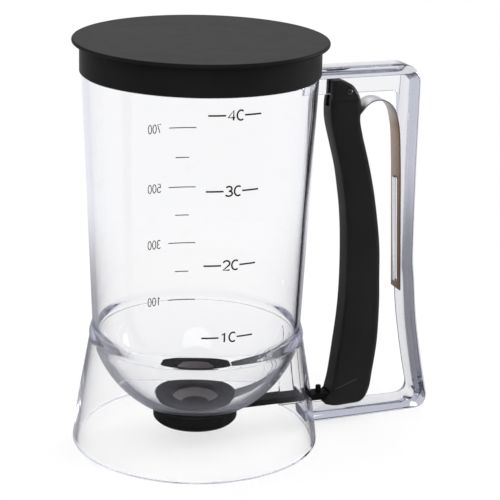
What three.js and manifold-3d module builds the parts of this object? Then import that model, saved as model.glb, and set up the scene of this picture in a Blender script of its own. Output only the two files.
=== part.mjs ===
// A hand-held pancake batter dispenser: a clear measuring container with a bowl-shaped bottom stands on a
// flared skirt. Squeezing the black trigger against the clear handle draws a slide off the outlet under the
// bowl, and a bent leaf spring brings the trigger back. Sizes are in millimetres, +Z is up, and the
// container's axis is the Z axis until the whole is moved at the end.
import * as THREE from "three";
import { mergeVertices } from "three/addons/utils/BufferGeometryUtils.js";
import Module from "manifold-3d";

const wasm = await Module();
wasm.setup();

// Clearances and cuts
const fit = 0.3;
const runningFit = 0.45;
const overrun = 2;
const bigSteps = 48;
const smallSteps = 32;
const tinySteps = 16;
const cornerSteps = 3;
const splineSteps = 2;

// Container and shoulder
const containerTopRadius = 52.7;
const containerFootRadius = 47.5;
const containerWall = 2.6;
const containerLength = 122.4;
const shoulderLength = 7.5;
const shoulderBulge = 1.7;
const neckInset = 1.2;
const neckLength = 12.5;

// Bowl
const bowlSwell = 2.5;
const bowlDepth = 52.3;
const bowlCentreRise = 12.8;
const bowlWall = 3.4;
const floorFlatRadius = 18.95;
const floorThickness = 2.1;

// Skirt
const skirtHeight = 50.5;
const skirtShoulder = 1.5;
const skirtFlare = 7.9;
const skirtWall = 2.2;

// Lid
const lidWall = 1.8;
const lidTopThickness = 2.4;
const lidBandDepth = 1.8;
const lidOverhang = 3.4;
const lidEdgeRadius = 0.7;
const lidPlugWall = 1.5;
const lidPlugDepth = 8;

// Handle
const handleWidth = 15;
const handleEdgeRadius = 1.8;
const gripRoom = 35.4;
const gripFlare = 11.5;
const gripThickness = 5.6;
const topArmThickness = 4.6;
const lowArmRootThickness = 6;
const lowArmEndThickness = 4.5;
const topArmDrop = 0.6;
const topCornerRadius = 8.5;
const lowCornerRadius = 7;
const armSeamInset = 13.3;
const webThickness = 3;
const webBelowPin = 1.6;
const webStripDepth = 1.6;

// Trigger and its pin
const fingerRoom = 17.2;
const pivotDrop = 11.2;
const pinRadius = 1.5;
const pinDome = 0.5;
const pinBossRadius = 4.2;
const triggerWidth = 12;
const triggerEdgeRadius = 1.8;
const triggerDepth = 20;
const triggerFootGap = 0.7;
const triggerSoleShare = 1.035;
const channelDepth = 7.2;

// Leaf spring
const leafThickness = 0.6;
const leafCheek = 1;
const leafTopInset = 7.8;
const leafFootInset = 4.8;
const leafSlotLength = 52;
const leafSlotWidth = 4;
const leafEndRise = 12.5;
const leafSlotMargin = 3.4;
const tongueRise = 1.1;

// Valve
const collarOverhang = 0.5;
const collarWall = 1.6;
const collarFloor = 2.7;
const dripRadius = 12.5;
const slideRoom = 0.8;
const slideThickness = 3;
const slideArmWidth = 8;
const slideDiscRadius = 8;
const outletRadius = 6.2;
const neckRadius = 14.2;
const neckWall = 1.8;
const flangeLip = 4.9;
const flangeThickness = 1.6;
const sealLip = 1.5;
const sealThickness = 2.6;
const gasketThickness = 0.8;
const gasketInset = 0.4;
const legWidth = 9;
const legThickness = 2.8;
const legSetback = 1.2;
const legFootGap = 1;
const legFootThickness = 1;
const ledgeThickness = 1.2;
const linkOffset = 1.1;
const linkBarRadius = 2.4;
const linkDrift = 0.75;
const stubSetback = 8.8;
const stubRadius = 1.3;
const stubHeight = 3.3;

// Slide guides and the skirt's slot
const guideLength = 8.7;
const guideThickness = 1.6;
const guideTopDrop = 10.5;
const slotHeight = 5.8;

// Radii and reaches that follow from the sizes above
const neckOuterRadius = containerTopRadius - neckInset;
const containerTopBore = containerTopRadius - containerWall;
const lidBore = neckOuterRadius + fit;
const lidSkirtRadius = lidBore + lidWall;
const lidRimRadius = lidSkirtRadius + lidOverhang;
const bowlRadius = containerFootRadius + bowlSwell;
const skirtTopRadius = containerFootRadius + skirtShoulder;
const baseRadius = skirtTopRadius + skirtFlare;
const guideReach = skirtTopRadius - guideLength;
const flangeRadius = neckRadius + flangeLip;
const sealRadius = neckRadius - neckWall;
const flangeBore = sealRadius - sealLip;
const collarRadius = flangeRadius + collarOverhang;
const collarBore = collarRadius - collarWall;
const legReach = neckRadius - legSetback;
const legFootReach = collarBore - legFootGap;
const pivotReach = containerTopRadius + fingerRoom;
const gripReach = pivotReach + gripRoom;
const armSeamReach = gripReach - armSeamInset;
const handleReach = gripReach + gripFlare;
const linkReach = pivotReach + linkOffset;
const stubReach = linkReach - stubSetback;
const leafWidth = triggerWidth - 2 * leafCheek;

// Levels that follow from the sizes above
const lidEdgeLevel = skirtHeight + containerLength;
const rimLevel = lidEdgeLevel + neckLength;
const lidUnderside = rimLevel + fit;
const lidTop = lidUnderside + lidTopThickness;
const seamLevel = skirtHeight + shoulderLength;
const bowlCentreLevel = skirtHeight + bowlCentreRise;
const floorUnderside = bowlCentreLevel - bowlDepth * Math.sqrt(1 - (floorFlatRadius / bowlRadius) ** 2);
const floorHeight = floorUnderside + floorThickness;
const topArmLevel = lidEdgeLevel - topArmDrop;
const topArmUnderside = topArmLevel - topArmThickness;
const pivotLevel = topArmLevel - pivotDrop;
const webEdgeLevel = pivotLevel - webBelowPin;
const collarTop = floorUnderside - fit;
const slideTop = floorUnderside - slideRoom;
const slideBottom = slideTop - slideThickness;
const collarInside = slideBottom - fit;
const collarBottom = collarInside - collarFloor;
const linkLevel = slideBottom + slideThickness / 2;
const leverLength = pivotLevel - linkLevel;
const leafEndHeight = skirtHeight + leafEndRise;
const lowArmTop = pivotLevel - triggerSoleShare * leverLength - triggerFootGap;
const lowArmRootLevel = lowArmTop - lowArmRootThickness;
const lowArmEndLevel = lowArmTop - lowArmEndThickness;

// A point on the container's outer taper.
function containerRadiusAt(level) {
  const share = (level - skirtHeight) / containerLength;
  return containerFootRadius + share * (containerTopRadius - containerFootRadius);
}

// A radius on an ellipse that stands on the axis, at a level below its centre.
function bowlRadiusAt(level, radius, depth) {
  const drop = (bowlCentreLevel - level) / depth;
  return radius * Math.sqrt(1 - drop * drop);
}

// A level on the same ellipse at a radius.
function bowlLevelAt(reach, radius, depth) {
  const share = reach / radius;
  return bowlCentreLevel - depth * Math.sqrt(1 - share * share);
}

// Welds a closed geometry's vertices and makes a solid of it, with its faces pointing out.
function solidOf(geometry) {
  const bare = geometry.index ? geometry.toNonIndexed() : geometry.clone();
  bare.deleteAttribute("normal");
  bare.deleteAttribute("uv");
  const welded = mergeVertices(bare);
  const corners = welded.index.array;
  const kept = [];
  for (let i = 0; i < corners.length; i += 3) {
    const [a, b, c] = [corners[i], corners[i + 1], corners[i + 2]];
    if (a !== b && b !== c && c !== a) kept.push(a, b, c);
  }
  const make = (list) => new wasm.Manifold(new wasm.Mesh({
    numProp: 3,
    vertProperties: new Float32Array(welded.attributes.position.array),
    triVerts: new Uint32Array(list),
  }));
  const solid = make(kept);
  if (solid.volume() > 0) return solid;
  const flipped = [];
  for (let i = 0; i < kept.length; i += 3) flipped.push(kept[i], kept[i + 2], kept[i + 1]);
  return make(flipped);
}

// A solid turned about the Z axis from [radius, level] points. The outline starts and ends on the axis, or
// is closed here.
function turned(points, steps) {
  const closed = points[0][0] > 0 ? [...points, points[0]] : points;
  const profile = closed.map(([radius, level]) => new THREE.Vector2(radius, level));
  const geometry = new THREE.LatheGeometry(profile, steps);
  geometry.rotateX(Math.PI / 2);
  return solidOf(geometry);
}

// A plate from an outline in X and Z, centred on y = 0, with rounded long edges where wanted.
function plate(shape, width, edgeRadius = 0, curveSteps = splineSteps) {
  const geometry = new THREE.ExtrudeGeometry(shape, {
    depth: width - 2 * edgeRadius,
    bevelEnabled: edgeRadius > 0,
    bevelThickness: edgeRadius,
    bevelSize: edgeRadius,
    bevelOffset: -edgeRadius,
    bevelSegments: splineSteps,
    curveSegments: curveSteps,
    steps: 1,
  });
  geometry.translate(0, 0, edgeRadius - width / 2);
  geometry.rotateX(Math.PI / 2);
  return solidOf(geometry);
}

// A box between two corners.
function block(low, high) {
  const size = high.map((value, axis) => value - low[axis]);
  const geometry = new THREE.BoxGeometry(...size);
  geometry.translate(...low.map((value, axis) => value + size[axis] / 2));
  return solidOf(geometry);
}

// An upright round bar between two levels.
function roundBar(radius, low, high, x, steps = smallSteps) {
  const geometry = new THREE.CylinderGeometry(radius, radius, high - low, steps);
  geometry.rotateX(Math.PI / 2);
  geometry.translate(x, 0, (low + high) / 2);
  return solidOf(geometry);
}

// A round bar along Y, centred on y = 0.
function crossBar(radius, width, x, z, steps = smallSteps) {
  const geometry = new THREE.CylinderGeometry(radius, radius, width, steps);
  geometry.translate(x, 0, z);
  return solidOf(geometry);
}

function outlineOf(points) {
  return new THREE.Shape(points.map(([x, z]) => new THREE.Vector2(x, z)));
}

// Container: a tapered tube with a set-in neck for the lid.
function makeContainer() {
  const footRadius = containerRadiusAt(seamLevel);
  const footBore = footRadius - containerWall;
  return turned([
    [footRadius, seamLevel],
    [containerTopRadius, lidEdgeLevel - fit],
    [neckOuterRadius, lidEdgeLevel - fit],
    [neckOuterRadius, rimLevel],
    [containerTopBore, rimLevel],
    [containerTopBore, lidEdgeLevel],
    [footBore, seamLevel],
  ], bigSteps);
}

// Bowl: rounds in from the shoulder ring to a flat floor with the outlet's hole.
const bowlShares = [0, 0.12, 0.26, 0.42, 0.6, 0.8, 1];
const floorRecessRadius = flangeRadius + fit;
const floorHoleRadius = neckRadius + fit;

function bowlCurve(radius, depth, startLevel, endRadius) {
  const start = Math.asin((bowlCentreLevel - startLevel) / depth);
  const end = Math.acos(endRadius / radius);
  return bowlShares.map((share) => {
    const angle = start + share * (end - start);
    return [radius * Math.cos(angle), bowlCentreLevel - depth * Math.sin(angle)];
  });
}

function bowlOutside(extra) {
  const radius = bowlRadius + extra;
  const depth = bowlDepth + extra;
  const flatRadius = radius * Math.sqrt(1 - ((bowlCentreLevel - floorUnderside) / bowlDepth) ** 2);
  return bowlCurve(radius, depth, skirtHeight, flatRadius);
}

function makeBowl() {
  const seamRadius = containerRadiusAt(seamLevel);
  const seamBore = seamRadius - containerWall;
  const ringRadius = containerFootRadius + shoulderBulge;
  const innerRadius = bowlRadius - bowlWall;
  const innerDepth = bowlDepth - bowlWall;
  const mouthLevel = skirtHeight + fit;
  const mouthRadius = bowlRadiusAt(mouthLevel, innerRadius, innerDepth);
  const recessTop = bowlLevelAt(floorRecessRadius, innerRadius, innerDepth);
  const outside = bowlOutside(0).reverse();
  const inside = bowlCurve(innerRadius, innerDepth, mouthLevel, floorRecessRadius).slice(1, -1);
  const ringDrop = shoulderLength / 4;
  return turned([
    [floorHoleRadius, floorUnderside],
    ...outside,
    [ringRadius, skirtHeight + fit],
    [ringRadius, skirtHeight + ringDrop],
    [(ringRadius + seamRadius) / 2, seamLevel - ringDrop],
    [seamRadius, seamLevel],
    [seamBore, seamLevel],
    [mouthRadius, mouthLevel],
    ...inside,
    [floorRecessRadius, recessTop],
    [floorRecessRadius, floorHeight],
    [floorHoleRadius, floorHeight],
  ], bigSteps);
}

// Everything inside the bowl's outer surface, widened by a clearance.
function bowlClearance() {
  const outside = bowlOutside(fit);
  const [lastRadius] = outside[outside.length - 1];
  return turned([
    [0, floorUnderside - fit],
    [lastRadius, floorUnderside - fit],
    ...outside.reverse(),
    [outside[outside.length - 1][0], skirtHeight + overrun],
    [0, skirtHeight + overrun],
  ], bigSteps);
}

// Skirt: the flared base, open below, with a slot for the slide's arm.
const skirtLevelShares = [0, 0.1, 0.4, 0.76, 1];
const skirtFlareShares = [1, 0.93, 0.66, 0.27, 0];

function skirtOutline(extra) {
  const top = skirtHeight - fit;
  return skirtLevelShares.map((share, i) => [
    skirtTopRadius + skirtFlareShares[i] * (baseRadius - skirtTopRadius) + extra,
    share * top,
  ]);
}

const guideGap = slideArmWidth / 2 + runningFit;

function makeSkirt() {
  const outside = skirtOutline(0);
  const inside = skirtOutline(-skirtWall).reverse();
  const shell = turned([...outside, ...inside], bigSteps);
  const slotMiddle = linkLevel + fit;
  const slot = block(
    [skirtTopRadius - skirtWall - overrun, -guideGap, slotMiddle - slotHeight / 2],
    [baseRadius + overrun, guideGap, slotMiddle + slotHeight / 2],
  );
  return shell.subtract(bowlClearance()).subtract(slot);
}

// The skirt's whole outer form with a clearance, which cuts what ends at it.
function skirtClearance() {
  const outside = skirtOutline(fit);
  const low = Math.min(0, lowArmRootLevel) - overrun;
  return turned([[0, low], [baseRadius + fit, low], ...outside, [0, skirtHeight - fit]], bigSteps);
}

// Two clear guides under the bowl that keep the slide's arm straight.
function makeGuide(side) {
  const near = side * guideGap;
  const far = side * (guideGap + guideThickness);
  const bar = block(
    [guideReach, Math.min(near, far), slideBottom],
    [baseRadius, Math.max(near, far), skirtHeight - guideTopDrop],
  );
  const inside = skirtOutline(-skirtWall - fit);
  const room = turned([[0, 0], ...inside, [0, skirtHeight - fit]], bigSteps);
  return bar.intersect(room).subtract(bowlClearance());
}

// Handle: a T-section bar in three lengths, with the flange outside and a web along the middle.
const gripLevelShares = [0.716, 0.473, 0.392, 0.291, 0.205, 0.126, 0.063];
const gripFlareShares = [0, 0.06, 0.17, 0.32, 0.52, 0.74, 0.94];
const gripTopLevel = topArmLevel - topCornerRadius;

function gripPoints(inset) {
  return gripLevelShares.map((share, i) => {
    const x = gripReach + gripFlareShares[i] * gripFlare - inset;
    return new THREE.Vector2(x, lowArmEndLevel + share * (topArmLevel - lowArmEndLevel));
  });
}

function flangeShape() {
  const outer = gripPoints(0);
  const inner = gripPoints(gripThickness);
  const lowest = inner[inner.length - 1];
  const lowCornerLevel = lowArmEndLevel + lowCornerRadius;
  const shape = new THREE.Shape();
  shape.moveTo(0, lowArmTop);
  shape.lineTo(0, lowArmRootLevel);
  shape.lineTo(handleReach - lowCornerRadius, lowArmEndLevel);
  shape.quadraticCurveTo(handleReach, lowArmEndLevel, handleReach, lowCornerLevel);
  shape.splineThru(outer.reverse());
  shape.lineTo(gripReach, gripTopLevel);
  shape.absarc(gripReach - topCornerRadius, gripTopLevel, topCornerRadius, 0, Math.PI / 2, false);
  shape.lineTo(0, topArmLevel);
  shape.lineTo(0, topArmUnderside);
  const innerTop = gripReach - gripThickness;
  const innerCorner = topCornerRadius - topArmThickness;
  shape.lineTo(innerTop - innerCorner, topArmUnderside);
  shape.quadraticCurveTo(innerTop, topArmUnderside, innerTop, topArmUnderside - innerCorner);
  shape.lineTo(inner[0].x, inner[0].y);
  shape.splineThru(inner.slice(1));
  shape.quadraticCurveTo(lowest.x + fit, lowArmTop, lowest.x - lowCornerRadius, lowArmTop);
  shape.lineTo(0, lowArmTop);
  return shape;
}

// The spring's line: an arch from inside the trigger to the top of the leg, as shares of the way across
// and of the lever's length, and then a straight leg that leans out a little towards its foot.
const leafArchShares = [
  [0.12, -0.098], [0.243, -0.068], [0.355, -0.045], [0.471, -0.034], [0.601, -0.033], [0.746, -0.044],
  [0.859, -0.069], [0.92, -0.106], [0.96, -0.153], [1, -0.257],
];
const legTopReach = gripReach - leafTopInset;
const legFoot = new THREE.Vector2(gripReach - leafFootInset, leafEndHeight);

function leafPoint([acrossShare, leverShare]) {
  const x = pivotReach + acrossShare * (legTopReach - pivotReach);
  return new THREE.Vector2(x, pivotLevel + leverShare * leverLength);
}

function leafLine() {
  const arch = new THREE.SplineCurve(leafArchShares.map(leafPoint)).getPoints(2 * leafArchShares.length);
  return [...arch, legFoot];
}

// A band of a given thickness along a line of points.
function bandShape(line, thickness) {
  const left = [];
  const right = [];
  line.forEach((point, i) => {
    const before = line[Math.max(i - 1, 0)];
    const after = line[Math.min(i + 1, line.length - 1)];
    const along = after.clone().sub(before).normalize().multiplyScalar(thickness / 2);
    left.push(new THREE.Vector2(point.x - along.y, point.y + along.x));
    right.push(new THREE.Vector2(point.x + along.y, point.y - along.x));
  });
  return new THREE.Shape([...left, ...right.reverse()]);
}

const legTop = leafPoint(leafArchShares[leafArchShares.length - 1]);

// A point on the leg's line at a level, moved outwards by an offset.
function legPointAt(level, offset) {
  const share = (level - legFoot.y) / (legTop.y - legFoot.y);
  return [legFoot.x + share * (legTop.x - legFoot.x) + offset, level];
}

const slotBottom = leafEndHeight + leafSlotMargin;
const slotTop = slotBottom + leafSlotLength;

// Web: a plate under the top arm with a boss for the pin, a strip behind the spring's leg, and a tongue
// that stands through the spring's slot.
function makeWeb() {
  const seat = leafThickness / 2 + fit;
  const stripTop = legPointAt(webEdgeLevel, seat);
  const stripFoot = legPointAt(leafEndHeight, seat);
  const backX = gripReach - gripThickness / 2;
  const footBackX = stripFoot[0] + webStripDepth + gripThickness / 2;
  const outline = outlineOf([
    [0, webEdgeLevel],
    [stripTop[0] - webStripDepth, webEdgeLevel],
    [stripTop[0], webEdgeLevel - webStripDepth],
    stripFoot,
    [footBackX, leafEndHeight - gripThickness],
    [footBackX, leafEndHeight],
    [backX, slotTop],
    [backX, topArmUnderside + overrun],
    [0, topArmUnderside + overrun],
  ]);
  const boss = crossBar(pinBossRadius, webThickness, pivotReach, pivotLevel);
  const tongue = outlineOf([
    legPointAt(slotBottom + fit, -leafThickness / 2 - tongueRise),
    legPointAt(slotBottom + fit, seat + webStripDepth),
    legPointAt(slotTop - fit, seat + webStripDepth),
    legPointAt(slotTop - fit, -leafThickness / 2 - tongueRise),
  ]);
  return plate(outline, webThickness).add(boss).add(plate(tongue, webThickness));
}

function makeHandle() {
  const containerRoom = turned([
    [0, seamLevel],
    [containerRadiusAt(seamLevel) + fit, seamLevel],
    [containerTopRadius + fit, lidEdgeLevel + overrun],
    [0, lidEdgeLevel + overrun],
  ], bigSteps);
  const pinHole = crossBar(pinRadius + fit, webThickness + overrun, pivotReach, pivotLevel);
  const bar = plate(flangeShape(), handleWidth, handleEdgeRadius, cornerSteps).add(makeWeb());
  return bar.subtract(containerRoom).subtract(skirtClearance()).subtract(pinHole);
}

const handle = makeHandle();
const handleHalf = handleWidth / 2 + overrun;
const middleLevel = topArmLevel / 2;
const handleFoot = lowArmRootLevel - overrun;

function handlePart(low, high) {
  return handle.intersect(block(low, high));
}

function makeTopArm() {
  return handlePart(
    [0, -handleHalf, middleLevel],
    [armSeamReach, handleHalf, topArmLevel + overrun],
  );
}

function makeLowArm() {
  return handlePart([0, -handleHalf, handleFoot], [armSeamReach, handleHalf, middleLevel]);
}

function makeGrip() {
  return handlePart(
    [armSeamReach + fit, -handleHalf, handleFoot],
    [handleReach + overrun, handleHalf, topArmLevel + overrun],
  );
}

// Trigger: a curved lever. Its head straddles the web on the pin, and its foot holds the arm's cross bar.
const triggerInnerShares = [
  [-0.4, 0.007], [-0.425, 0.048], [-0.395, 0.1], [-0.245, 0.178], [-0.115, 0.245], [-0.03, 0.308],
  [0.06, 0.392], [0.115, 0.498], [0.13, 0.623], [0.1, 0.724], [0.02, 0.827], [-0.075, 0.932],
  [-0.15, 0.98],
];
const triggerOuterShares = [
  [0.665, 1.03], [0.855, 0.992], [0.935, 0.926], [1.025, 0.823], [1.04, 0.7], [1.015, 0.617],
  [0.985, 0.522], [0.925, 0.45], [0.785, 0.336], [0.62, 0.239], [0.43, 0.147], [0.345, 0.094],
  [0.36, 0.061], [0.34, 0.033], [0.25, 0.004], [0.085, -0.021],
];
const headShoulderShares = [[-0.395, -0.037], [-0.2, -0.037]];
const footLipShares = [
  [-0.15, 0.988], [-0.365, 1.012], [-0.27, 1.026], [-0.035, triggerSoleShare], [0.3, triggerSoleShare],
];

function triggerPoint([depthShare, leverShare]) {
  return new THREE.Vector2(pivotReach + depthShare * triggerDepth, pivotLevel - leverShare * leverLength);
}

function triggerShape() {
  const [shoulder, crown] = headShoulderShares.map(triggerPoint);
  const [lipRoot, lipTip, lipHeel, ...sole] = footLipShares.map(triggerPoint);
  const shape = new THREE.Shape();
  shape.moveTo(crown.x, crown.y);
  shape.lineTo(shoulder.x, shoulder.y);
  shape.splineThru(triggerInnerShares.map(triggerPoint));
  shape.lineTo(lipRoot.x, lipRoot.y);
  shape.lineTo(lipTip.x, lipTip.y);
  shape.lineTo(lipHeel.x, lipHeel.y);
  shape.splineThru([...sole, ...triggerOuterShares.map(triggerPoint)]);
  return shape;
}

function makeTrigger() {
  const channelFloor = pivotLevel - channelDepth;
  const channelHalf = webThickness / 2 + runningFit;
  const reachLow = pivotReach - triggerDepth;
  const reachHigh = pivotReach + 2 * triggerDepth;
  const channel = block(
    [reachLow, -channelHalf, channelFloor],
    [reachHigh, channelHalf, topArmLevel],
  );
  const pinHole = crossBar(pinRadius + fit, triggerWidth + overrun, pivotReach, pivotLevel);
  const pocketHalf = slideArmWidth / 2 + fit;
  const socketReach = linkBarRadius + fit;
  const socket = block(
    [linkReach - socketReach, -pocketHalf, linkLevel - socketReach - linkDrift],
    [linkReach + socketReach, pocketHalf, linkLevel + socketReach],
  );
  const mouth = block(
    [reachLow, -pocketHalf, slideBottom - fit - linkDrift],
    [linkReach, pocketHalf, slideTop + runningFit],
  );
  const [leafStart, leafNext] = leafLine();
  const leafEnd = leafStart.clone().add(leafStart.clone().sub(leafNext).setLength(fit));
  const leafRoom = plate(
    bandShape([leafEnd, ...leafLine()], leafThickness + 2 * fit),
    leafWidth + 2 * fit,
  );
  const body = plate(triggerShape(), triggerWidth, triggerEdgeRadius);
  return body.subtract(channel).subtract(pinHole).subtract(socket).subtract(mouth).subtract(leafRoom);
}

// Pin: a steel bar with domed ends through both cheeks of the trigger and the web's boss.
const domeShare = 0.75;

function makePin() {
  const half = triggerWidth / 2;
  const shoulder = pinDome * domeShare;
  const profile = [
    [0, -half - pinDome],
    [pinRadius / 2, -half - shoulder],
    [pinRadius, -half],
    [pinRadius, half],
    [pinRadius / 2, half + shoulder],
    [0, half + pinDome],
  ];
  const points = profile.map(([radius, level]) => new THREE.Vector2(radius, level));
  const geometry = new THREE.LatheGeometry(points, smallSteps);
  geometry.translate(pivotReach, 0, pivotLevel);
  return solidOf(geometry);
}

// Leaf spring: a steel strip with an arch at the top and a slot along its leg.
function makeLeaf() {
  const strip = plate(bandShape(leafLine(), leafThickness), leafWidth);
  const slot = block(
    [(pivotReach + legTopReach) / 2, -leafSlotWidth / 2, slotBottom],
    [handleReach, leafSlotWidth / 2, slotTop],
  );
  return strip.subtract(slot);
}

// Lid: a cap with a wider top band, a skirt outside the container's neck and a plug ring inside it.
function makeLid() {
  const bandLevel = lidTop - lidBandDepth;
  const plugRadius = containerTopBore - fit;
  const plugBore = plugRadius - lidPlugWall;
  return turned([
    [0, lidUnderside],
    [plugBore, lidUnderside],
    [plugBore, lidUnderside - lidPlugDepth],
    [plugRadius, lidUnderside - lidPlugDepth],
    [plugRadius, lidUnderside],
    [lidBore, lidUnderside],
    [lidBore, lidEdgeLevel],
    [lidSkirtRadius, lidEdgeLevel],
    [lidSkirtRadius, bandLevel],
    [lidRimRadius - lidEdgeRadius, bandLevel],
    [lidRimRadius, bandLevel + lidEdgeRadius],
    [lidRimRadius, lidTop - lidEdgeRadius],
    [lidRimRadius - lidEdgeRadius, lidTop],
    [0, lidTop],
  ], bigSteps);
}

// Valve flange: sits in the bowl's floor, with a neck through the hole and two legs that hold the collar.
const gasketTop = floorHeight + gasketThickness;
const sealBottom = slideTop + fit;
const sealTop = sealBottom + sealThickness;
const ledgeLevel = collarInside + fit + legFootThickness + fit;

function makeFlange() {
  const sealRoom = sealRadius + fit;
  const top = gasketTop + flangeThickness;
  const body = turned([
    [sealRoom, floorUnderside],
    [neckRadius, floorUnderside],
    [neckRadius, gasketTop],
    [flangeRadius, gasketTop],
    [flangeRadius, top - flangeThickness / 3],
    [flangeRadius - flangeThickness / 3, top],
    [flangeBore, top],
    [flangeBore, sealTop + fit],
    [sealRoom, sealTop + fit],
  ], smallSteps);
  const legs = [-1, 1].map((side) => {
    const near = side * (legReach - legThickness);
    const far = side * legReach;
    const toe = side * legFootReach;
    const footLevel = collarInside + fit;
    const leg = block(
      [-legWidth / 2, Math.min(near, far), footLevel],
      [legWidth / 2, Math.max(near, far), floorHeight],
    );
    const foot = block(
      [-legWidth / 2, Math.min(near, toe), footLevel],
      [legWidth / 2, Math.max(near, toe), footLevel + legFootThickness],
    );
    return leg.add(foot);
  });
  const bore = roundBar(sealRoom, sealBottom - fit, sealTop + fit, 0);
  return body.add(legs[0].subtract(bore)).add(legs[1].subtract(bore));
}

// Gasket: a soft washer between the bowl's floor and the flange.
function makeGasket() {
  const outer = flangeRadius - gasketInset;
  return turned([
    [floorHoleRadius, floorHeight],
    [outer, floorHeight],
    [outer, gasketTop],
    [floorHoleRadius, gasketTop],
  ], smallSteps);
}

// Outlet seal: a soft cone that narrows the bore to the outlet, just above the slide.
function makeSeal() {
  return turned([
    [outletRadius, sealBottom],
    [sealRadius, sealBottom],
    [sealRadius, sealTop],
    [flangeBore - fit, sealTop],
  ], smallSteps);
}

// Collar: the black cup below the bowl in which the slide runs.
function makeCollar() {
  const cup = turned([
    [dripRadius, collarBottom],
    [collarBore, collarBottom],
    [collarRadius, collarBottom + collarWall],
    [collarRadius, collarTop],
    [collarBore, collarTop],
    [collarBore, collarInside],
    [dripRadius, collarInside],
  ], smallSteps);
  const windowReach = collarRadius + overrun;
  const window = block([0, -guideGap, collarInside], [windowReach, guideGap, collarTop + overrun]);
  const ledgeNear = legReach + fit;
  const ledges = [-1, 1].map((side) => {
    const near = side * ledgeNear;
    const far = side * (collarRadius - collarWall / 2);
    return block(
      [-legWidth / 2, Math.min(near, far), ledgeLevel],
      [legWidth / 2, Math.max(near, far), ledgeLevel + ledgeThickness],
    ).intersect(roundBar(collarRadius - collarWall / 2, collarBottom, collarTop, 0));
  });
  return cup.subtract(window).add(ledges[0]).add(ledges[1]);
}

// Valve slide: a rounded plate over the outlet, its arm, a stub on the arm and the cross bar at its end.
const slideTaperShares = [[0.4, 0.825], [0.61, 0.5]];

function makeSlide() {
  const armHalf = slideArmWidth / 2;
  const shape = new THREE.Shape();
  shape.moveTo(linkReach, armHalf);
  slideTaperShares.slice().reverse().forEach(([along, across]) => {
    shape.lineTo(along * slideDiscRadius, Math.max(across * slideDiscRadius, armHalf));
  });
  shape.absarc(0, 0, slideDiscRadius, Math.PI / 2, -Math.PI / 2, false);
  slideTaperShares.forEach(([along, across]) => {
    shape.lineTo(along * slideDiscRadius, -Math.max(across * slideDiscRadius, armHalf));
  });
  shape.lineTo(linkReach, -armHalf);
  const geometry = new THREE.ExtrudeGeometry(shape, {
    depth: slideThickness,
    bevelEnabled: false,
    curveSegments: tinySteps,
  });
  geometry.translate(0, 0, slideBottom);
  const stubRoot = slideTop - slideThickness / 2;
  const stub = roundBar(stubRadius, stubRoot, slideTop + stubHeight, stubReach, tinySteps);
  const bar = crossBar(linkBarRadius, slideArmWidth, linkReach, linkLevel, tinySteps);
  return solidOf(geometry).add(stub).add(bar);
}

// Finishes
function clearPlastic() {
  return new THREE.MeshStandardMaterial({
    color: 0xdfe3ee,
    roughness: 0.08,
    metalness: 0,
    transparent: true,
    opacity: 0.35,
  });
}

function blackPlastic(roughness) {
  return new THREE.MeshStandardMaterial({ color: 0x1d1d1e, roughness, metalness: 0 });
}

function steel() {
  return new THREE.MeshStandardMaterial({ color: 0xa39686, roughness: 0.3, metalness: 1 });
}

function softSeal() {
  return new THREE.MeshStandardMaterial({ color: 0x8b8187, roughness: 0.5, metalness: 0 });
}

// The pieces, each with its name and its finish.
const dispenser = new THREE.Group();

function addPiece(name, solid, material) {
  const mesh = solid.getMesh();
  const geometry = new THREE.BufferGeometry();
  geometry.setAttribute("position", new THREE.BufferAttribute(mesh.vertProperties, 3));
  geometry.setIndex(new THREE.BufferAttribute(mesh.triVerts, 1));
  geometry.computeVertexNormals();
  const piece = new THREE.Mesh(geometry, material);
  piece.name = name;
  dispenser.add(piece);
}

addPiece("container", makeContainer(), clearPlastic());
addPiece("bowl", makeBowl(), clearPlastic());
addPiece("skirt", makeSkirt(), clearPlastic());
addPiece("slide_guide_front", makeGuide(-1), clearPlastic());
addPiece("slide_guide_rear", makeGuide(1), clearPlastic());
addPiece("handle_top_arm", makeTopArm(), clearPlastic());
addPiece("handle_grip", makeGrip(), clearPlastic());
addPiece("handle_low_arm", makeLowArm(), clearPlastic());
addPiece("valve_flange", makeFlange(), blackPlastic(0.6));
addPiece("flange_gasket", makeGasket(), softSeal());
addPiece("outlet_seal", makeSeal(), softSeal());
addPiece("valve_collar", makeCollar(), blackPlastic(0.45));
addPiece("valve_slide", makeSlide(), blackPlastic(0.45));
addPiece("trigger", makeTrigger(), blackPlastic(0.5));
addPiece("trigger_pin", makePin(), steel());
addPiece("leaf_spring", makeLeaf(), steel());
addPiece("lid", makeLid(), blackPlastic(0.65));

// The whole is centred between the handle's outer corner and the lid's rim.
dispenser.position.x = (lidRimRadius - handleReach) / 2;

export default dispenser;
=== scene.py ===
from math import asin, cos, pi, radians, sin, sqrt, tau

import bmesh
import bpy
from mathutils import Matrix, Vector


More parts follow.
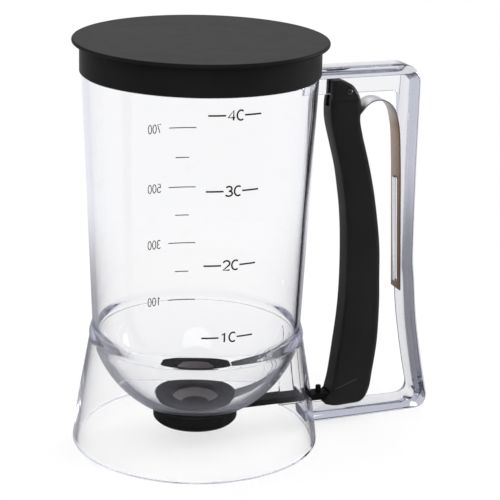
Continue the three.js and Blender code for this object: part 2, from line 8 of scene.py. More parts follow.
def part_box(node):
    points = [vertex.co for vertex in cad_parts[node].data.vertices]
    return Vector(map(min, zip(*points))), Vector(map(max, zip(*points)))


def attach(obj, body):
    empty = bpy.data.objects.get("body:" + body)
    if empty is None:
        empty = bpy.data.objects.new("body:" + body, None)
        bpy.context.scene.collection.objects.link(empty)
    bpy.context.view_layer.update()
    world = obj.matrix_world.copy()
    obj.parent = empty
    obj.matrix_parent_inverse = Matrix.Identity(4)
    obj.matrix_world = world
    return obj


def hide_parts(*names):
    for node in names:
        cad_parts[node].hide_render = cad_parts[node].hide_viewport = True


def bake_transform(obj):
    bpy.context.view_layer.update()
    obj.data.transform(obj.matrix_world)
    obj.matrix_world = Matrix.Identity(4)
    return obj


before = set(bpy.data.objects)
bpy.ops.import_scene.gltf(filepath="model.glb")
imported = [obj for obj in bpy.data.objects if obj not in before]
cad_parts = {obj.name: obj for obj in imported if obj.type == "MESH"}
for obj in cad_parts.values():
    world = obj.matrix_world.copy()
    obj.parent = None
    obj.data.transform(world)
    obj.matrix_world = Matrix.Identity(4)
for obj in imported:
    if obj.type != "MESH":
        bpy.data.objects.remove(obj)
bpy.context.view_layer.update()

# Container and bowl: clear styrene plastic, moulded in two shells that are welded at the thick shoulder
# ring, so that no seam is left to see. The bowl hangs inside the ring and ends in a flat floor with a
# round hole.
container_low, container_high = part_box("container")
bowl_low, bowl_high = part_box("bowl")
skirt_low, skirt_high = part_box("skirt")
axis = (container_low.x + container_high.x) / 2
container_radius = (container_high.y - container_low.y) / 2
ring_radius = (bowl_high.y - bowl_low.y) / 2
base_radius = (skirt_high.y - skirt_low.y) / 2
rim_level = container_high.z
seam_level = container_low.z
shoulder_level = skirt_high.z
floor_underside = bowl_low.z

container_wall = 0.0026
neck_inset = 0.0012
neck_length = 0.0125
container_foot_radius = 0.0475
bowl_swell = 0.0025
bowl_depth = 0.0523
bowl_centre_rise = 0.0131
bowl_wall = 0.0034
floor_thickness = 0.0021
floor_hole_radius = 0.0145
recess_radius = 0.0194
skirt_shoulder = 0.0015
skirt_wall = 0.0022
skirt_top_wall = 0.0004
foot_softness = 0.0006
mouth_drop = 0.0062
mouth_softness = 0.0055
mouth_points = 4
shoulder_gap = 0.0003
ring_height = 0.0064
edge_softness = 0.0005
turn_steps = 240
curve_steps = 28

neck_radius = container_radius - neck_inset
container_bore = container_radius - container_wall
edge_level = rim_level - neck_length
bowl_radius = container_foot_radius + bowl_swell
bowl_centre = shoulder_level + bowl_centre_rise
inner_bowl_radius = bowl_radius - bowl_wall
inner_bowl_depth = bowl_depth - bowl_wall
floor_level = floor_underside + floor_thickness
skirt_top_radius = container_foot_radius + skirt_shoulder
ring_low = shoulder_level + shoulder_gap
ring_top = ring_low + ring_height


def wall_radius(level):
    """The container's outer radius at a level on its taper."""
    share = (level - shoulder_level) / (edge_level - shoulder_level)
    return container_foot_radius + share * (container_radius - container_foot_radius)


def bowl_arc(radius, depth, first_level, last_level):
    """Points down a quarter of an ellipse that hangs from the bowl's centre."""
    first = asin((bowl_centre - first_level) / depth)
    last = asin((bowl_centre - last_level) / depth)
    angles = [first + (last - first) * step / curve_steps for step in range(curve_steps + 1)]
    return [(radius * cos(angle), bowl_centre - depth * sin(angle)) for angle in angles]


def way_along(line, i):
    """The way that a line runs at one of its points, from the point before it to the point after it."""
    return Vector(line[min(i + 1, len(line) - 1)]) - Vector(line[max(i - 1, 0)])


def through(points, steps=8):
    """A smooth line through points, which leaves each one along the line between its two neighbours."""
    line = []
    for i in range(len(points) - 1):
        near, far = Vector(points[i]), Vector(points[i + 1])
        pull_near, pull_far = way_along(points, i) / 2, way_along(points, i + 1) / 2
        for step in range(steps):
            t = step / steps
            held = near * (2 * t**3 - 3 * t**2 + 1) + far * (3 * t**2 - 2 * t**3)
            line.append(tuple(held + pull_near * (t**3 - 2 * t**2 + t) + pull_far * (t**3 - t**2)))
    return line + [tuple(points[-1])]


def bend(start, middle, end, steps=10):
    """Points from start to end, drawn towards the corner between them."""
    shares = [step / steps for step in range(steps + 1)]
    start, middle, end = Vector(start), Vector(middle), Vector(end)
    return [tuple(start * (1 - t) ** 2 + middle * 2 * t * (1 - t) + end * t**2) for t in shares]


def rounded(corners, steps=5):
    """A closed outline through (across, level, softness) corners, each rounded as far as its softness. A
    point just outside each rounding keeps the flat beside it flat."""
    hold = 1.3
    line = []
    for i, (*place, softness) in enumerate(corners):
        here = Vector(place)
        if softness == 0:
            line.append(tuple(here))
            continue
        ways = [Vector(corners[j % len(corners)][:2]) - here for j in (i - 1, i + 1)]
        reach = min(softness, *(way.length / 2 for way in ways))
        start, end = (here + way.normalized() * reach for way in ways)
        before, after = (here + way.normalized() * min(hold * reach, way.length / 2) for way in ways)
        line += [tuple(before), *bend(start, here, end, steps), tuple(after)]
    return line


def plain(points):
    return [(across, level, 0) for across, level in points]


def body_outline():
    """The container, ring and bowl, from the hole in the floor round to the rim and back inside."""
    outer_bowl = bowl_arc(bowl_radius, bowl_depth, ring_low, floor_underside)[::-1]
    inner_bowl = bowl_arc(inner_bowl_radius, inner_bowl_depth, seam_level - mouth_drop, floor_level)
    kept_bowl = [point for point in inner_bowl if point[0] > recess_radius]
    height_shares = [0, 0.15, 0.4, 0.65, 0.85, 1, 1.2, 1.5]
    bulge_shares = [1, 0.97, 0.7, 0.36, 0.12, 0.02, 0, 0]
    bulge = ring_radius - container_foot_radius
    levels = [ring_low + edge_softness + share * ring_height for share in height_shares]
    ring = through([
        (wall_radius(level) + share * bulge, level) for level, share in zip(levels, bulge_shares)
    ])
    return rounded([
        (floor_hole_radius, floor_underside, edge_softness),
        *plain(outer_bowl),
        (ring_radius, ring_low, edge_softness / 2),
        *plain(ring),
        (container_radius, edge_level, edge_softness),
        (neck_radius, edge_level, edge_softness),
        (neck_radius, rim_level, edge_softness),
        (container_bore, rim_level, edge_softness),
        (container_bore, edge_level, neck_length / 2),
        (*kept_bowl[0], mouth_softness),
        *plain(kept_bowl[mouth_points:]),
        (recess_radius, floor_level, edge_softness),
        (floor_hole_radius, floor_level, edge_softness),
    ])


def placed(name, data):
    """Puts a mesh, a lamp or a camera in the scene as an object."""
    thing = bpy.data.objects.new(name, data)
    bpy.context.scene.collection.objects.link(thing)
    return thing


def closed_mesh(name, corners, faces, weld=1e-7):
    """A mesh object whose corners are welded and whose faces point out."""
    mesh = bpy.data.meshes.new(name)
    mesh.from_pydata(corners, [], faces)
    work = bmesh.new()
    work.from_mesh(mesh)
    bmesh.ops.remove_doubles(work, verts=work.verts, dist=weld)
    bmesh.ops.dissolve_degenerate(work, edges=work.edges, dist=weld)
    bmesh.ops.triangulate(work, faces=[face for face in work.faces if len(face.verts) > 4])
    bmesh.ops.recalc_face_normals(work, faces=work.faces)
    work.to_mesh(mesh)
    work.free()
    return placed(name, mesh)


def turned(name, outline, steps=turn_steps):
    """A body turned about the container's axis from a closed outline of (radius, level) points."""
    corners = [
        (axis + radius * cos(tau * turn / steps), radius * sin(tau * turn / steps), level)
        for turn in range(steps)
        for radius, level in outline
    ]
    count = len(outline)
    faces = []
    for turn in range(steps):
        near, far = turn * count, (turn + 1) % steps * count
        for i in range(count):
            j = (i + 1) % count
            faces.append((near + i, far + i, far + j, near + j))
    return closed_mesh(name, corners, faces)


def softly_shaded(piece, crease=radians(32)):
    """Shades a piece smooth, except across its real corners."""
    piece.data.shade_smooth()
    piece.data.set_sharp_from_angle(angle=crease)


def cut(piece, tool, operation="DIFFERENCE"):
    """Joins a tool to a piece, or cuts it out, and clears the tool away."""
    step = piece.modifiers.new("cut", "BOOLEAN")
    step.object = tool
    step.operation = operation
    step.solver = "MANIFOLD"
    bpy.context.view_layer.update()
    made = bpy.data.meshes.new_from_object(piece.evaluated_get(bpy.context.evaluated_depsgraph_get()))
    piece.modifiers.clear()
    piece.data = made
    bpy.data.objects.remove(tool)


def finished(piece, material, body, slot, *nodes):
    """Gives a piece its shading, material and the body it rides on, and hides the CAD nodes it stands
    for. Its slot is not used.
    """
    softly_shaded(piece)
    piece.data.materials.clear()
    piece.data.materials.append(material)
    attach(piece, body)
    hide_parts(*nodes)


def feed(node, inputs):
    """Gives a node's inputs their values: numbers, colours, or what comes out of other nodes."""
    for name, value in inputs.items():
        if isinstance(value, bpy.types.NodeSocket):
            node.id_data.links.new(value, node.inputs[name])
        else:
            node.inputs[name].default_value = value


def wired(tree, kind, output, inputs=None, **settings):
    """What comes out of a new node that has these inputs and settings."""
    node = tree.nodes.new("ShaderNode" + kind)
    for name, value in settings.items():
        setattr(node, name, value)
    feed(node, inputs or {})
    return node.outputs[output]


def new_material(name):
    """A material with its tree cleared to an output and one Principled node."""
    material = bpy.data.materials.new(name)
    material.use_nodes = True
    tree = material.node_tree
    tree.nodes.clear()
    out = tree.nodes.new("ShaderNodeOutputMaterial")
    shader = tree.nodes.new("ShaderNodeBsdfPrincipled")
    feed(out, {"Surface": shader.outputs["BSDF"]})
    return material, tree, shader


def ramp(tree, source, stops):
    """A colour ramp on a value, from (position, colour) stops."""
    node = tree.nodes.new("ShaderNodeValToRGB")
    while len(node.color_ramp.elements) < len(stops):
        node.color_ramp.elements.new(position=0.5)
    for element, (position, colour) in zip(node.color_ramp.elements, stops):
        element.position = position
        element.color = (*colour, 1)
    feed(node, {"Fac": source})
    return node.outputs["Color"]


def noise(tree, scale, detail=3.0):
    """Noise over the object's own place, in grains to the metre."""
    place = wired(tree, "TexCoord", "Object")
    return wired(tree, "TexNoise", "Fac", {"Scale": scale, "Detail": detail, "Vector": place})


def bump(tree, shader, height, depth, strength):
    raised = wired(tree, "Bump", "Normal", {"Distance": depth, "Strength": strength, "Height": height})
    feed(shader, {"Normal": raised})


def clear_plastic(name, ior, face, slant, edge, cast, density):
    """Clear plastic, its surface colour running from face to slant to edge as it is seen square on, aslant
    and edge-on: a painted shade that darkens its edges. Cast is the colour that light takes on its way
    through the thickness."""
    face_end = 0.5
    slant_place = 0.82
    ripple_grain = 28
    ripple_depth = 0.0005
    ripple_strength = 0.16
    shadow_tint = (0.92, 0.92, 0.93, 1)

    material, tree, shader = new_material(name)
    # Painted edge shade: the colour darkens as the surface turns edge-on.
    turned_away = wired(tree, "LayerWeight", "Facing")
    tint = ramp(tree, turned_away, [(0, face), (face_end, face), (slant_place, slant), (1, edge)])
    feed(shader, {"Transmission Weight": 1, "Roughness": 0, "IOR": ior, "Base Color": tint})
    bump(tree, shader, noise(tree, ripple_grain, detail=1.0), ripple_depth, ripple_strength)
    surface = wired(tree, "MixShader", "Shader", {
        "Fac": wired(tree, "LightPath", "Is Shadow Ray"),
        1: shader.outputs["BSDF"],
        2: wired(tree, "BsdfTransparent", "BSDF", {"Color": shadow_tint}),
    })
    thickness = wired(tree, "VolumeAbsorption", "Volume", {"Color": (*cast, 1), "Density": density})
    feed(tree.nodes["Material Output"], {"Surface": surface, "Volume": thickness})
    return material


jar_styrene = clear_plastic(
    "jar_styrene",
    ior=1.43,
    face=(1, 1, 1),
    slant=(0.97, 0.97, 0.985),
    edge=(0.62, 0.62, 0.72),
    cast=(0.55, 0.56, 0.7),
    density=8,
)
container = turned("clear_container", body_outline())
finished(container, jar_styrene, "jug", "clear_plastic", "container", "bowl")

# Skirt: the flared clear base that the bowl's ring is welded to. Two fins inside it keep the slide's arm
# straight, and the arm leaves through a square slot between them.
guide_low, guide_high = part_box("slide_guide_front")
slide_low, slide_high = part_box("valve_slide")
guide_gap = -guide_high.y
guide_thickness = guide_high.y - guide_low.y
guide_reach = guide_low.x - axis
guide_softness = 0.0003
slide_thickness = 0.003
link_radius = 0.0024
link_level = slide_low.z + link_radius
slide_bottom = link_level - slide_thickness / 2
slide_top = slide_bottom + slide_thickness
slot_height = 0.0058
fit = 0.0003


def between(start, end, shares):
    """Points from their shares of the way across and of the way up between two corners."""
    (left, low), (right, high) = start, end
    return [(left + across * (right - left), low + up * (high - low)) for across, up in shares]


def skirt_line(inset, steps=6):
    """The skirt's flare from its foot to the shoulder, moved inwards by an inset."""
    flare_shares = [(1, 0), (0.93, 0.1), (0.66, 0.4), (0.27, 0.76), (0, 1)]
    start, end = (skirt_top_radius - inset, 0), (base_radius - inset, shoulder_level)
    return through(between(start, end, flare_shares), steps)


def bowl_radius_at(level):
    drop = (bowl_centre - level) / bowl_depth
    return bowl_radius * sqrt(max(0, 1 - drop * drop))


def skirt_outline():
    inner = []
    for reach, level in skirt_line(0, steps=10):
        height_share = level / shoulder_level
        wall = skirt_wall + (skirt_top_wall - skirt_wall) * height_share**2
        inner.append((max(reach - wall, bowl_radius_at(level) + fit), level))
    return rounded([
        *plain(skirt_line(0)[1:]),
        *plain(inner[:0:-1]),
        (*inner[0], foot_softness),
        (base_radius, skirt_low.z, foot_softness),
    ])


def tube_faces(first, count, rings):
    """The faces of a closed tube, with its two ends, whose rings of corners follow each other in a list."""
    last = first + (rings - 1) * count
    faces = [tuple(range(first, first + count)), tuple(range(last, last + count))]
    for low in range(first, last, count):
        high = low + count
        for i in range(count):
            j = (i + 1) % count
            faces.append((low + i, low + j, high + j, high + i))
    return faces


def slab(name, outline, width, softness=0.0, steps=4, middle=0.0):
    """A plate from a closed (reach, level) outline, with its two rims rounded. Softness is one radius, or
    one for each point of the outline. Middle is how far it lies to the side of the handle's middle plane."""
    sharpest = 0.5
    area = sum(a[0] * b[1] - b[0] * a[1] for a, b in zip(outline, outline[1:] + outline[:1]))
    order = 1 if area > 0 else -1
    points = [Vector(point) for point in outline[::order]]
    count = len(points)
    radii = softness[::order] if isinstance(softness, list) else [softness] * count
    inward = []
    for i, here in enumerate(points):
        before = (here - points[i - 1]).normalized()
        after = (points[(i + 1) % count] - here).normalized()
        along = (before + after).normalized()
        stretch = 1 / max(sharpest, sqrt((1 + before.dot(after)) / 2))
        inward.append(Vector((-along.y, along.x)) * stretch)
    turns = [pi / 2 * step / steps for step in range(steps + 1)] if max(radii) > 0 else [0]
    rings = [(1 - cos(turn), -1, sin(turn)) for turn in turns[::-1]]
    rings += [(1 - cos(turn), 1, sin(turn)) for turn in turns]
    corners = []
    for inset, face, rise in rings:
        for here, side, radius in zip(points, inward, radii):
            place = here + side * radius * inset
            half = width / 2 - radius + radius * rise
            corners.append((axis + place.x, middle + face * half, place.y))
    return closed_mesh(name, corners, tube_faces(0, count, len(rings)))


def box_between(name, first, second):
    """A plain box for cutting, between two opposite (reach, y, level) corners."""
    (left, right), (front, rear), (low, high) = (sorted(pair) for pair in zip(first, second))
    outline = [(left, low), (right, low), (right, high), (left, high)]
    return slab(name, outline, rear - front, middle=(front + rear) / 2)


def guide_outline():
    bowl_line = bowl_arc(bowl_radius + fit, bowl_depth + fit, shoulder_level, floor_level)
    skirt_middle = skirt_line(skirt_wall / 2)
    top = [point for point in bowl_line if guide_reach < point[0] < skirt_top_radius - skirt_wall / 2]
    side = [point for point in skirt_middle if guide_low.z < point[1] < top[0][1]]
    first = (side[0][0], guide_low.z)
    return [(guide_reach, guide_low.z), first, *side, *top]


skirt = turned("clear_skirt", skirt_outline())
for side in (-1, 1):
    fin_middle = side * (guide_gap + guide_thickness / 2)
    fin = slab("fin", guide_outline(), guide_thickness, guide_softness, middle=fin_middle)
    cut(skirt, fin, "UNION")
slot_low = link_level + fit - slot_height / 2
cut(skirt, box_between(
    "slot",
    (skirt_top_radius - 2 * skirt_wall, -guide_gap, slot_low),
    (base_radius + skirt_wall, guide_gap, slot_low + slot_height),
))
skirt_styrene = clear_plastic(
    "skirt_styrene",
    ior=1.2,
    face=(0.985, 0.985, 0.985),
    slant=(0.95, 0.95, 0.965),
    edge=(0.75, 0.75, 0.8),
    cast=(0.6, 0.6, 0.66),
    density=10,
)
finished(skirt, skirt_styrene, "jug", "clear_plastic", "skirt", "slide_guide_front", "slide_guide_rear")

# Handle: a deeper-tinted clear moulding, welded to the container and the skirt. Its outer bar is wide
# with rounded edges. A thin web runs along the middle of it, down behind the spring and through the
# spring's slot.
grip_low, grip_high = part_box("handle_grip")
pin_low, pin_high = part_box("trigger_pin")
leaf_low, leaf_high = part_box("leaf_spring")
handle_width = grip_high.y - grip_low.y
handle_top = grip_high.z
handle_reach = grip_high.x - axis
arm_end_level = grip_low.z
pivot_reach = (pin_low.x + pin_high.x) / 2 - axis
pivot_level = (pin_low.z + pin_high.z) / 2

handle_softness = 0.0021
grip_room = 0.0354
grip_thickness = 0.0056
top_arm_thickness = 0.0046
low_arm_thickness = 0.0045
low_arm_root_thickness = 0.006
top_corner_radius = 0.0085
low_corner_radius = 0.007
web_thickness = 0.003
web_below_pin = 0.0016
web_strip_depth = 0.0016
web_softness = 0.0003
boss_radius = 0.0042
pin_radius = 0.0015
leaf_thickness = 0.0006
leaf_foot_setback = 0.0048
leg_top_setback = 0.0078
leg_top_share = 0.257
slot_margin = 0.0034
slot_length = 0.052
tongue_rise = 0.0011

grip_reach = pivot_reach + grip_room
low_arm_top = arm_end_level + low_arm_thickness
leaf_foot = Vector((grip_reach - leaf_foot_setback, leaf_low.z))
leg_top_reach = grip_reach - leg_top_setback
lever_length = pivot_level - link_level
leg_top_level = pivot_level - leg_top_share * lever_length


def arc(centre, radius, first, last, steps=12):
    angles = [radians(first + (last - first) * step / steps) for step in range(steps + 1)]
    return [(centre[0] + radius * cos(angle), centre[1] + radius * sin(angle)) for angle in angles]


def bar_along_y(name, radius, width, reach, level, steps=48):
    return slab(name, arc((reach, level), radius, 0, 360, steps)[:-1], width)


def grip_line(inset):
    """The grip's line from its straight top to its flared foot, moved inwards by an inset."""
    flare_shares = [
        (0, 0.716), (0.06, 0.473), (0.17, 0.392), (0.32, 0.291), (0.52, 0.205), (0.74, 0.126), (0.94, 0.063),
    ]
    return between((grip_reach - inset, arm_end_level), (handle_reach - inset, handle_top), flare_shares)


def handle_outline():
    outer = grip_line(0)
    inner = grip_line(grip_thickness)
    lowest = inner[-1]
    corner = (handle_reach, arm_end_level)
    corner_end = (handle_reach, arm_end_level + low_corner_radius)
    inner_top = grip_reach - grip_thickness
    inner_radius = top_corner_radius - top_arm_thickness
    arm_underside = handle_top - top_arm_thickness
    corner_centre = (grip_reach - top_corner_radius, handle_top - top_corner_radius)
    return [
        (0, low_arm_top),
        (0, low_arm_top - low_arm_root_thickness),
        *bend((corner[0] - low_corner_radius, corner[1]), corner, corner_end),
        *through([corner_end, *outer[::-1]])[1:],
        *arc(corner_centre, top_corner_radius, 0, 90),
        (0, handle_top),
        (0, arm_underside),
        *bend((inner_top - inner_radius, arm_underside), (inner_top, arm_underside),
              (inner_top, arm_underside - inner_radius)),
        *through(inner),
        *bend(lowest, (lowest[0] + fit, low_arm_top), (lowest[0] - low_corner_radius, low_arm_top))[1:],
    ]


def leg_point(level, offset):
    """A point on the line of the spring's leg at a level, moved outwards by an offset."""
    share = (level - leaf_foot.y) / (leg_top_level - leaf_foot.y)
    return (leaf_foot.x + share * (leg_top_reach - leaf_foot.x) + offset, level)


def web_outline():
    edge = pivot_level - web_below_pin
    seat = leaf_thickness / 2 + fit
    strip_top = leg_point(edge, seat)
    strip_foot = leg_point(leaf_foot.y, seat)
    back = grip_reach - grip_thickness / 2
    foot_back = strip_foot[0] + web_strip_depth + grip_thickness / 2
    arm_middle = handle_top - top_arm_thickness / 2
    return [
        (0, edge),
        (strip_top[0] - web_strip_depth, edge),
        (strip_top[0], edge - web_strip_depth),
        strip_foot,
        (foot_back, leaf_foot.y - grip_thickness),
        (foot_back, leaf_foot.y),
        (back, leaf_foot.y + slot_margin + slot_length),
        (back, arm_middle),
        (0, arm_middle),
    ]


def tongue_outline():
    low = leaf_foot.y + slot_margin + fit
    high = low + slot_length - 2 * fit
    back = leaf_thickness / 2 + fit + web_strip_depth
    front = -leaf_thickness / 2 - tongue_rise
    corners = [leg_point(low, front), leg_point(low, back), leg_point(high, back), leg_point(high, front)]
    return rounded([(*corner, tongue_rise / 2) for corner in corners])


handle = slab("clear_handle", handle_outline(), handle_width, handle_softness)
cut(handle, slab("web", web_outline(), web_thickness, web_softness), "UNION")
cut(handle, slab("tongue", tongue_outline(), web_thickness, web_softness), "UNION")
cut(handle, bar_along_y("boss", boss_radius, web_thickness + fit, pivot_reach, pivot_level), "UNION")
cut(handle, bar_along_y("hole", pin_radius + fit, handle_width, pivot_reach, pivot_level))


def body_room():
    """The room that the container, the ring and the skirt take up, where no part of the handle goes."""
    low = -low_arm_root_thickness
    ring_middle = (ring_low + ring_top) / 2
    side = [
        (ring_radius + fit, ring_low),
        (ring_radius + fit, ring_middle),
        (wall_radius(ring_top) + fit, ring_top),
        (container_radius + fit, edge_level),
    ]
    flare = [(reach + fit, level) for reach, level in skirt_line(0)[:-1]]
    return turned("room", [(0, low), (base_radius + fit, low), *flare, *side, (0, edge_level)])


cut(handle, body_room())
handle_styrene = clear_plastic(
    "handle_styrene",
    ior=1.5,
    face=(1, 1, 1),
    slant=(0.9, 0.9, 0.94),
    edge=(0.66, 0.66, 0.74),
    cast=(0.54, 0.555, 0.64),
    density=46,
)
finished(
    handle, handle_styrene, "jug", "clear_plastic", "handle_top_arm", "handle_grip", "handle_low_arm",
)

# Printed scales: thin black ink on the outside of the container. Cups are marked on the side to the left of
# the handle, and millilitres on the far side, where the numbers read from outside.
ink_height = 0.00006
cup_stroke = 0.00074
litre_stroke = 0.00048
cup_levels = {"4C": 0.1655, "3C": 0.1322, "2C": 0.0987, "1C": 0.0652}
cup_angle = -92.5
cup_dash = 0.0076
cup_digit = (0.0030, 0.0043)
cup_gap = 0.0009
litre_levels = {"700": 0.1356, "500": 0.1068, "300": 0.0793, "100": 0.0509}
litre_line = 0.0135
litre_half_line = 0.0068
litre_angle = 80.0
litre_digit = (0.0018, 0.0041)
litre_gap = 0.0007
litre_text_lead = 0.0109
ink_weld = 1e-8
ink_grain = 900
ink_roughness = 0.55
ink_dark = (0.006, 0.006, 0.007)
ink_light = (0.018, 0.018, 0.02)


def glyph(sign):
    """The strokes of a number or letter, as lines of points in a box one wide and one high."""
    def sweep(centre, wide, high, first, last, steps=18):
        unit_arc = arc((0, 0), 1, first, last, steps)
        return [(centre[0] + wide * x, centre[1] + high * y) for x, y in unit_arc]

    return {
        "0": [sweep((0.5, 0.5), 0.5, 0.5, 90, 450)],
        "1": [[(0.2, 0.78), (0.58, 1), (0.58, 0)]],
        "2": [sweep((0.5, 0.7), 0.48, 0.3, 165, -35) + [(0.02, 0), (1, 0)]],
        "3": [sweep((0.46, 0.75), 0.44, 0.25, 150, -90), sweep((0.46, 0.26), 0.52, 0.26, 90, -150)],
        "4": [[(0.78, 0), (0.78, 1), (0, 0.28), (1, 0.28)]],
        "5": [[(0.9, 1), (0.16, 1), (0.08, 0.54)] + sweep((0.46, 0.32), 0.5, 0.32, 125, -150)],
        "7": [[(0, 1), (1, 1), (0.36, 0)]],
        "C": [sweep((0.56, 0.5), 0.56, 0.5, 52, 308)],
    }[sign]


def inked(name, lines, stroke, angle, level):
    """Ink strokes on the container's wall. Lines run in metres across and up from a place on the wall."""
    low = ink_height / 4
    section = [(1, low), (1, ink_height), (-1, ink_height), (-1, low)]
    corners, faces = [], []
    for line in lines:
        faces += tube_faces(len(corners), len(section), len(line))
        for i, (across, up) in enumerate(line):
            along = way_along(line, i).normalized() * stroke / 2
            for side, height in section:
                rise = level + up + side * along.x
                radius = wall_radius(rise)
                turn = radians(angle) + (across - side * along.y) / radius
                reach = radius + height
                corners.append((axis + reach * cos(turn), reach * sin(turn), rise))
    piece = closed_mesh(name, corners, faces, ink_weld)
    piece.data.materials.append(ink)
    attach(piece, "jug")


def word(text, size, gap, left, bottom):
    """The strokes of a word whose lower left corner is at (left, bottom)."""
    lines = []
    for sign in text:
        lines += [[(left + x * size[0], bottom + y * size[1]) for x, y in line] for line in glyph(sign)]
        left += size[0] + gap
    return lines


def dash(left, length, up=0.0, steps=6):
    return [(left + length * step / steps, up) for step in range(steps + 1)]


def mottled(tree, cloud, dark, light):
    """A colour that runs from dark to light with a cloud of noise."""
    cloud_start = 0.3
    cloud_end = 0.7
    return ramp(tree, cloud, [(cloud_start, dark), (cloud_end, light)])


def scale_ink():
    material, tree, shader = new_material("black_ink")
    tint = mottled(tree, noise(tree, ink_grain), ink_dark, ink_light)
    feed(shader, {"Roughness": ink_roughness, "Base Color": tint})
    return material


ink = scale_ink()
for text, level in cup_levels.items():
    width = 2 * cup_digit[0] + cup_gap
    lines = word(text, cup_digit, cup_gap, -width / 2, -cup_digit[1] / 2)
    lines.append(dash(-width / 2 - cup_gap - cup_dash, cup_dash))
    lines.append(dash(width / 2 + cup_gap / 2, cup_dash))
    inked("cup_mark_" + text[0], lines, cup_stroke, cup_angle, level)
for text, level in litre_levels.items():
    lines = [dash(-litre_line / 2, litre_line)]
    lines += word(text, litre_digit, litre_gap, litre_text_lead, -litre_digit[1] / 2)
    inked("litre_mark_" + text, lines, litre_stroke, litre_angle, level)
levels = list(litre_levels.values())
for i, (high, low) in enumerate(zip(levels, levels[1:])):
    lines = [dash(-litre_half_line / 2, litre_half_line)]
    inked("litre_half_mark_" + str(i + 1), lines, litre_stroke, litre_angle, (high + low) / 2)

# Valve flange: a black ring that lies on the bowl's floor over a soft washer. Its neck goes down through the
# hole, and two legs on it hold the collar below.
flange_low, flange_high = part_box("valve_flange")
flange_radius = (flange_high.y - flange_low.y) / 2
gasket_low, gasket_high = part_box("flange_gasket")
seal_low, seal_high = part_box("outlet_seal")
valve_neck_radius = 0.0142
seal_lip = 0.0015
seal_radius = (seal_high.y - seal_low.y) / 2
flange_bore = seal_radius - seal_lip
leg_width = 0.009
leg_thickness = 0.0028
leg_setback = 0.0012
leg_foot_thickness = 0.001
leg_foot_room = 0.001
collar_low, collar_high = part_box("valve_collar")
collar_radius = (collar_high.y - collar_low.y) / 2
collar_wall = 0.0016
collar_floor = 0.0027
collar_inside = collar_low.z + collar_floor
leg_foot_reach = collar_radius - collar_wall - leg_foot_room
seal_room = seal_radius + fit
valve_steps = 128


def uneven(tree, shader, colour, shades, colour_cloud, roughness, gloss_range, gloss_cloud):
    """Gives a finish changes of colour between two shades, and of gloss about a roughness."""
    dark, light = ([min(1, value * shade) for value in colour] for shade in shades)
    least, most = (roughness + change for change in gloss_range)
    gloss = wired(tree, "MapRange", "Result", {"Value": gloss_cloud, "To Min": least, "To Max": most})
    feed(shader, {"Base Color": mottled(tree, colour_cloud, dark, light), "Roughness": gloss})


def black_plastic(name, colour, roughness, shine, grain=900, depth=0.00004, strength=0.35):
    """Moulded black plastic: an even grain, with faint cloudy changes of gloss and colour."""
    shade_shares = (0.86, 1.14)
    gloss_range = (-0.04, 0.05)
    colour_grain = 35
    gloss_grain = 120
    material, tree, shader = new_material(name)
    colour_cloud = noise(tree, colour_grain, detail=2.0)
    gloss_cloud = noise(tree, gloss_grain, detail=4.0)
    uneven(tree, shader, colour, shade_shares, colour_cloud, roughness, gloss_range, gloss_cloud)
    feed(shader, {"Specular IOR Level": shine})
    bump(tree, shader, noise(tree, grain, detail=2.0), depth, strength)
    return material


def rod(name, radius, low, high, steps=64):
    """A plain upright rod on the container's axis, for cutting."""
    return turned(name, [(0, low), (radius, low), (radius, high), (0, high)], steps)


def flange_body():
    top = flange_high.z
    seal_top = seal_high.z + fit
    return turned("valve_flange_ring", rounded([
        (seal_room, floor_underside, 0),
        (valve_neck_radius, floor_underside, edge_softness),
        (valve_neck_radius, gasket_high.z, 0),
        (flange_radius, gasket_high.z, edge_softness / 2),
        (flange_radius, top, 2 * edge_softness),
        (flange_bore, top, 2 * edge_softness),
        (flange_bore, seal_top, 0),
        (seal_room, seal_top, 0),
    ]), valve_steps)


flange = flange_body()
leg_reach = valve_neck_radius - leg_setback
foot_level = collar_inside + fit
foot_top = foot_level + leg_foot_thickness
for side in (-1, 1):
    near, far = side * (leg_reach - leg_thickness), side * leg_reach
    toe = side * leg_foot_reach
    corner = (-leg_width / 2, near, foot_level)
    leg = box_between("leg", corner, (leg_width / 2, far, floor_level))
    cut(leg, box_between("toe", corner, (leg_width / 2, toe, foot_top)), "UNION")
    cut(leg, rod("bore", seal_room, foot_level - fit, seal_high.z + fit))
    cut(flange, leg, "UNION")
valve_black = black_plastic(
    "valve_black_plastic", colour=(0.0065, 0.0065, 0.0067), roughness=0.42, shine=0.03,
)
finished(flange, valve_black, "jug", "valve_plastic", "valve_flange")

# Gasket and outlet seal: soft grey rubber. The gasket lies between the bowl's floor and the flange, and the
# seal narrows the neck down to the outlet just above the slide.
outlet_radius = 0.0062
gasket_inset = 0.0004
gasket_radius = flange_radius - gasket_inset
rubber_dark = (0.1, 0.086, 0.089)
rubber_light = (0.14, 0.121, 0.125)
rubber_roughness = 0.5
rubber_cloud_grain = 60
rubber_grain = 700
rubber_grain_depth = 0.00003
rubber_grain_strength = 0.3


def soft_rubber():
    material, tree, shader = new_material("grey_rubber")
    tint = mottled(tree, noise(tree, rubber_cloud_grain), rubber_dark, rubber_light)
    feed(shader, {"Base Color": tint, "Roughness": rubber_roughness})
    bump(tree, shader, noise(tree, rubber_grain), rubber_grain_depth, rubber_grain_strength)
    return material


rubber = soft_rubber()
gasket = turned("flange_gasket_washer", rounded([
    (floor_hole_radius, gasket_low.z, 0),
    (gasket_radius, gasket_low.z, 0),
    (gasket_radius, gasket_high.z, edge_softness / 2),
    (floor_hole_radius, gasket_high.z, 0),
]), valve_steps)
finished(gasket, rubber, "jug", "soft_seal", "flange_gasket")
seal = turned("outlet_seal_cone", rounded([
    (outlet_radius, seal_low.z, edge_softness / 2),
    (seal_radius, seal_low.z, edge_softness / 2),
    (seal_radius, seal_high.z, edge_softness / 2),
    (flange_bore - fit, seal_high.z, edge_softness / 2),
]), valve_steps)
finished(seal, rubber, "jug", "soft_seal", "outlet_seal")

